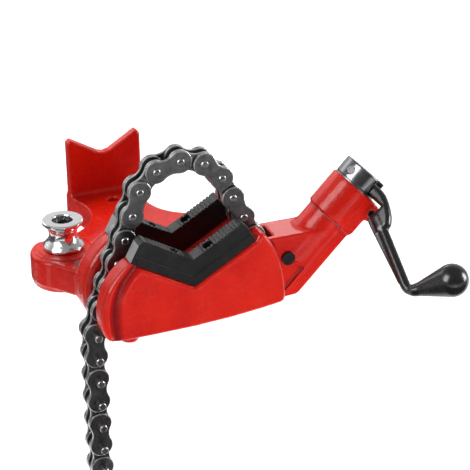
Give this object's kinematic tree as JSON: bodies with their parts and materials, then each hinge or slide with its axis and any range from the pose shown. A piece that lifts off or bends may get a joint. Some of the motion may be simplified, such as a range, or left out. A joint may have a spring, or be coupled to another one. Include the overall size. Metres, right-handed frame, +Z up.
{
  "type": "chain pipe vise",
  "caption": "Bench chain vise for pipe: V jaws, chain drawn down by a cranked screw in an angled housing, rear pipe rest and bending roller.",
  "frame": {"origin": "bench plane, on the foot under the middle of the V", "axes": "+X along the jaws towards the screw housing, +Y along the pipe towards the rear rest, +Z up"},
  "size_m": [0.3649, 0.408, 0.4202],
  "materials": {
    "red_enamel": "glossy red enamel over sand-cast iron",
    "jaw_black": "black oxide, bright where ground",
    "dark_hardware": "black oxide",
    "plain_steel": "machined, lightly oiled",
    "polished_steel": "polished and plated",
    "turned_steel": "fine turned",
    "black_forged": "gloss black enamel over a forging",
    "chain_steel": "oiled dark steel, edges rubbed bright"
  },
  "bodies": {
    "base": {"base_casting": "red_enamel", "front_jaw": "jaw_black", "rear_jaw": "jaw_black", "jaw_screws": "dark_hardware", "guide_pin": "dark_hardware", "guide_pin_ring": "dark_hardware", "thrust_washer": "plain_steel", "nut_retaining_screw": "dark_hardware", "roller_bolt": "dark_hardware", "roller_washer": "plain_steel", "roller_nut": "dark_hardware"},
    "roller": {"bender_roller": "polished_steel"},
    "nut": {"screw_nut": "turned_steel", "crank_pivot_pin": "turned_steel"},
    "crank": {"crank_handle": "black_forged"},
    "screw": {"chain_screw": "plain_steel", "clevis_pin": "chain_steel", "link_01_inner": "chain_steel", "link_02_outer": "chain_steel", "link_03_inner": "chain_steel", "link_04_outer": "chain_steel"},
    "chain_05": {"link_05_inner": "chain_steel"},
    "chain_06": {"link_06_outer": "chain_steel"},
    "chain_07": {"link_07_inner": "chain_steel"},
    "chain_08": {"link_08_outer": "chain_steel"},
    "chain_09": {"link_09_inner": "chain_steel"},
    "chain_10": {"link_10_outer": "chain_steel"},
    "chain_11": {"link_11_inner": "chain_steel"},
    "chain_12": {"link_12_outer": "chain_steel"},
    "chain_13": {"link_13_inner": "chain_steel"},
    "chain_14": {"link_14_outer": "chain_steel"},
    "chain_15": {"link_15_inner": "chain_steel"},
    "chain_16": {"link_16_outer": "chain_steel"},
    "chain_17": {"link_17_inner": "chain_steel"},
    "chain_18": {"link_18_outer": "chain_steel"},
    "chain_19": {"link_19_inner": "chain_steel"},
    "chain_20": {"link_20_outer": "chain_steel"},
    "chain_21": {"link_21_inner": "chain_steel"},
    "chain_22": {"link_22_outer": "chain_steel"},
    "chain_23": {"link_23_inner": "chain_steel"},
    "chain_24": {"link_24_outer": "chain_steel"},
    "chain_25": {"link_25_inner": "chain_steel"},
    "chain_26": {"link_26_outer": "chain_steel"}
  },
  "joints": [
    {"name": "roller_spin", "type": "hinge", "parent": "base", "child": "roller", "pos_m": [-0.085, 0.1195, 0.05], "axis": [0, 0, 1], "continuous": true},
    {"name": "nut_turn", "type": "hinge", "parent": "base", "child": "nut", "pos_m": [0.187, 0, 0.1065], "axis": [0.7071, 0, 0.7071], "range_deg": [0, 1080]},
    {"name": "screw_travel", "type": "slide", "parent": "base", "child": "screw", "axis": [0.7071, 0, 0.7071], "range_m": [-0.006, 0]},
    {"name": "crank_fold", "type": "hinge", "parent": "nut", "child": "crank", "pos_m": [0.194, 0, 0.1135], "axis": [-0.6409, -0.4226, 0.6409], "range_deg": [0, 104]},
    {"name": "chain_hinge_05", "type": "hinge", "parent": "screw", "child": "chain_05", "pos_m": [0.07495, 0, 0.07474], "axis": [0, 1, 0], "range_deg": [0, 12]},
    {"name": "chain_hinge_06", "type": "hinge", "parent": "chain_05", "child": "chain_06", "pos_m": [0.06406, 0, 0.09769], "axis": [0, 1, 0], "range_deg": [0, 12]},
    {"name": "chain_hinge_07", "type": "hinge", "parent": "chain_06", "child": "chain_07", "pos_m": [0.05316, 0, 0.12063], "axis": [0, 1, 0], "range_deg": [0, 12]},
    {"name": "chain_hinge_08", "type": "hinge", "parent": "chain_07", "child": "chain_08", "pos_m": [0.04227, 0, 0.14358], "axis": [0, 1, 0], "range_deg": [0, 20]},
    {"name": "chain_hinge_09", "type": "hinge", "parent": "chain_08", "child": "chain_09", "pos_m": [0.02451, 0, 0.16173], "axis": [0, 1, 0], "range_deg": [0, 20]},
    {"name": "chain_hinge_10", "type": "hinge", "parent": "chain_09", "child": "chain_10", "pos_m": [0, 0, 0.1684], "axis": [0, 1, 0], "range_deg": [0, 20]},
    {"name": "chain_hinge_11", "type": "hinge", "parent": "chain_10", "child": "chain_11", "pos_m": [-0.02451, 0, 0.16173], "axis": [0, 1, 0], "range_deg": [0, 20]},
    {"name": "chain_hinge_12", "type": "hinge", "parent": "chain_11", "child": "chain_12", "pos_m": [-0.04227, 0, 0.14358], "axis": [0, 1, 0], "range_deg": [0, 20]},
    {"name": "chain_hinge_13", "type": "hinge", "parent": "chain_12", "child": "chain_13", "pos_m": [-0.05087, 0, 0.11968], "axis": [0, 1, 0], "range_deg": [0, 15]},
    {"name": "chain_hinge_14", "type": "hinge", "parent": "chain_13", "child": "chain_14", "pos_m": [-0.05948, 0, 0.09578], "axis": [0, 1, 0], "range_deg": [0, 15]},
    {"name": "chain_hinge_15", "type": "hinge", "parent": "chain_14", "child": "chain_15", "pos_m": [-0.06808, 0, 0.07188], "axis": [0, 1, 0], "range_deg": [0, 15]},
    {"name": "chain_hinge_16", "type": "hinge", "parent": "chain_15", "child": "chain_16", "pos_m": [-0.07669, 0, 0.04798], "axis": [0, 1, 0], "range_deg": [0, 15]},
    {"name": "chain_hinge_17", "type": "hinge", "parent": "chain_16", "child": "chain_17", "pos_m": [-0.08529, 0, 0.02408], "axis": [0, 1, 0], "range_deg": [0, 15]},
    {"name": "chain_hinge_18", "type": "hinge", "parent": "chain_17", "child": "chain_18", "pos_m": [-0.09389, 0, 0.00019], "axis": [0, 1, 0], "range_deg": [-15, 15]},
    {"name": "chain_hinge_19", "type": "hinge", "parent": "chain_18", "child": "chain_19", "pos_m": [-0.09389, 0, -0.02521], "axis": [0, 1, 0], "range_deg": [-15, 15]},
    {"name": "chain_hinge_20", "type": "hinge", "parent": "chain_19", "child": "chain_20", "pos_m": [-0.09389, 0, -0.05061], "axis": [0, 1, 0], "range_deg": [-15, 15]},
    {"name": "chain_hinge_21", "type": "hinge", "parent": "chain_20", "child": "chain_21", "pos_m": [-0.09389, 0, -0.07601], "axis": [0, 1, 0], "range_deg": [-15, 15]},
    {"name": "chain_hinge_22", "type": "hinge", "parent": "chain_21", "child": "chain_22", "pos_m": [-0.09389, 0, -0.10141], "axis": [0, 1, 0], "range_deg": [-15, 15]},
    {"name": "chain_hinge_23", "type": "hinge", "parent": "chain_22", "child": "chain_23", "pos_m": [-0.09389, 0, -0.12681], "axis": [0, 1, 0], "range_deg": [-15, 15]},
    {"name": "chain_hinge_24", "type": "hinge", "parent": "chain_23", "child": "chain_24", "pos_m": [-0.09389, 0, -0.15221], "axis": [0, 1, 0], "range_deg": [-15, 15]},
    {"name": "chain_hinge_25", "type": "hinge", "parent": "chain_24", "child": "chain_25", "pos_m": [-0.09389, 0, -0.17761], "axis": [0, 1, 0], "range_deg": [-15, 15]},
    {"name": "chain_hinge_26", "type": "hinge", "parent": "chain_25", "child": "chain_26", "pos_m": [-0.09389, 0, -0.20301], "axis": [0, 1, 0], "range_deg": [-15, 15]}
  ],
  "couplings": [
    {"joint": "screw_travel", "follows": "nut_turn", "m_per_rad": -0.00031831}
  ]
}
